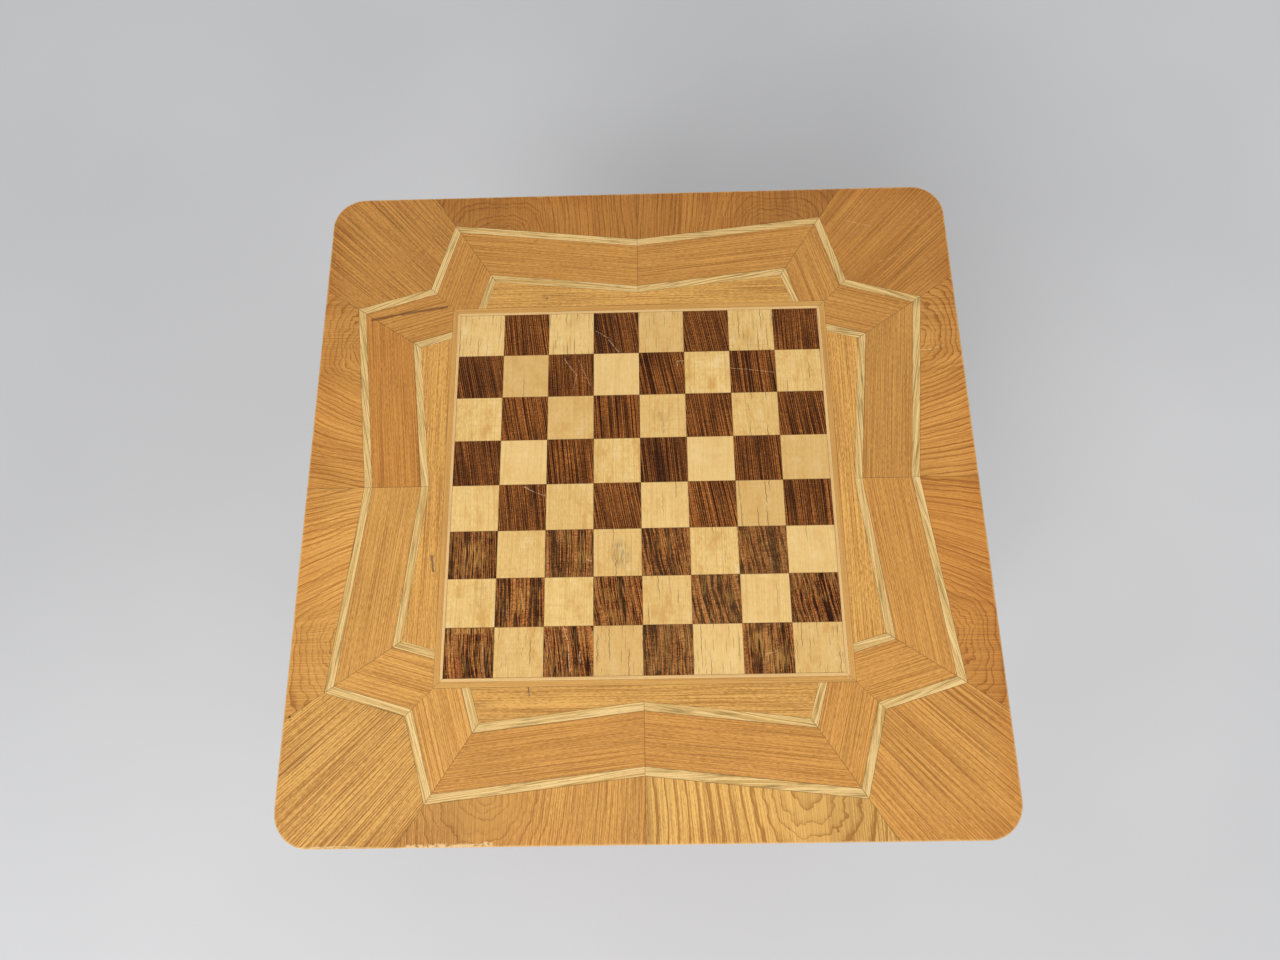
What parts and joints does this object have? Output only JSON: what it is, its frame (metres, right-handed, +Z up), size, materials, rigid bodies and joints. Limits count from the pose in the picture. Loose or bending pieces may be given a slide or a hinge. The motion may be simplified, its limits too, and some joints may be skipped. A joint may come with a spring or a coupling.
{
  "type": "chess table",
  "caption": "Square wooden side table with a marquetry star round an inlaid chequered board, rounded corners, a plain apron and tapered legs.",
  "frame": {"origin": "on the floor, under the middle of the top", "axes": "+Z up; +Y away from the player who has a dark square at the left hand; +X to that player's right"},
  "size_m": [0.64, 0.64, 0.72],
  "materials": {
    "core_panel": "bare",
    "backing_veneer": "satin lacquer",
    "lipping": "satin lacquer",
    "border_veneer": "satin lacquer",
    "stringing": "satin lacquer",
    "band_veneer": "satin lacquer",
    "field_veneer": "satin lacquer",
    "rail": "satin lacquer",
    "leg": "satin lacquer",
    "corner_brace": "bare",
    "board_line": "satin lacquer",
    "board_banding": "satin lacquer",
    "dark_squares": "satin lacquer",
    "light_squares": "satin lacquer",
    "top_buttons": "bare",
    "screw_steel": "bright",
    "glide": "satin"
  },
  "bodies": {
    "root": {"backing_veneer": "backing_veneer", "board_banding": "board_banding", "board_line": "board_line", "border_leaf_back_left": "border_veneer", "border_leaf_back_right": "border_veneer", "border_leaf_front_left": "border_veneer", "border_leaf_front_right": "border_veneer", "border_leaves_back": "border_veneer", "border_leaves_front": "border_veneer", "border_leaves_left": "border_veneer", "border_leaves_right": "border_veneer", "brace_screws": "screw_steel", "button_screws": "screw_steel", "core_panel": "core_panel", "corner_brace_back_left": "corner_brace", "corner_brace_back_right": "corner_brace", "corner_brace_front_left": "corner_brace", "corner_brace_front_right": "corner_brace", "dark_squares": "dark_squares", "field_leaf_back": "field_veneer", "field_leaf_front": "field_veneer", "field_leaf_left": "field_veneer", "field_leaf_right": "field_veneer", "glides": "glide", "inner_stringing_back": "stringing", "inner_stringing_front": "stringing", "inner_stringing_left": "stringing", "inner_stringing_right": "stringing", "inner_stringing_stubs": "stringing", "leg_back_left": "leg", "leg_back_right": "leg", "leg_front_left": "leg", "leg_front_right": "leg", "light_squares": "light_squares", "lipping_back": "lipping", "lipping_front": "lipping", "lipping_left": "lipping", "lipping_right": "lipping", "outer_stringing_back": "stringing", "outer_stringing_back_left": "stringing", "outer_stringing_back_right": "stringing", "outer_stringing_front": "stringing", "outer_stringing_front_left": "stringing", "outer_stringing_front_right": "stringing", "outer_stringing_left": "stringing", "outer_stringing_right": "stringing", "rail_back": "rail", "rail_front": "rail", "rail_left": "rail", "rail_right": "rail", "star_band_back": "band_veneer", "star_band_back_left": "band_veneer", "star_band_back_right": "band_veneer", "star_band_front": "band_veneer", "star_band_front_left": "band_veneer", "star_band_front_right": "band_veneer", "star_band_left": "band_veneer", "star_band_right": "band_veneer", "top_buttons": "top_buttons"}
  },
  "joints": []
}
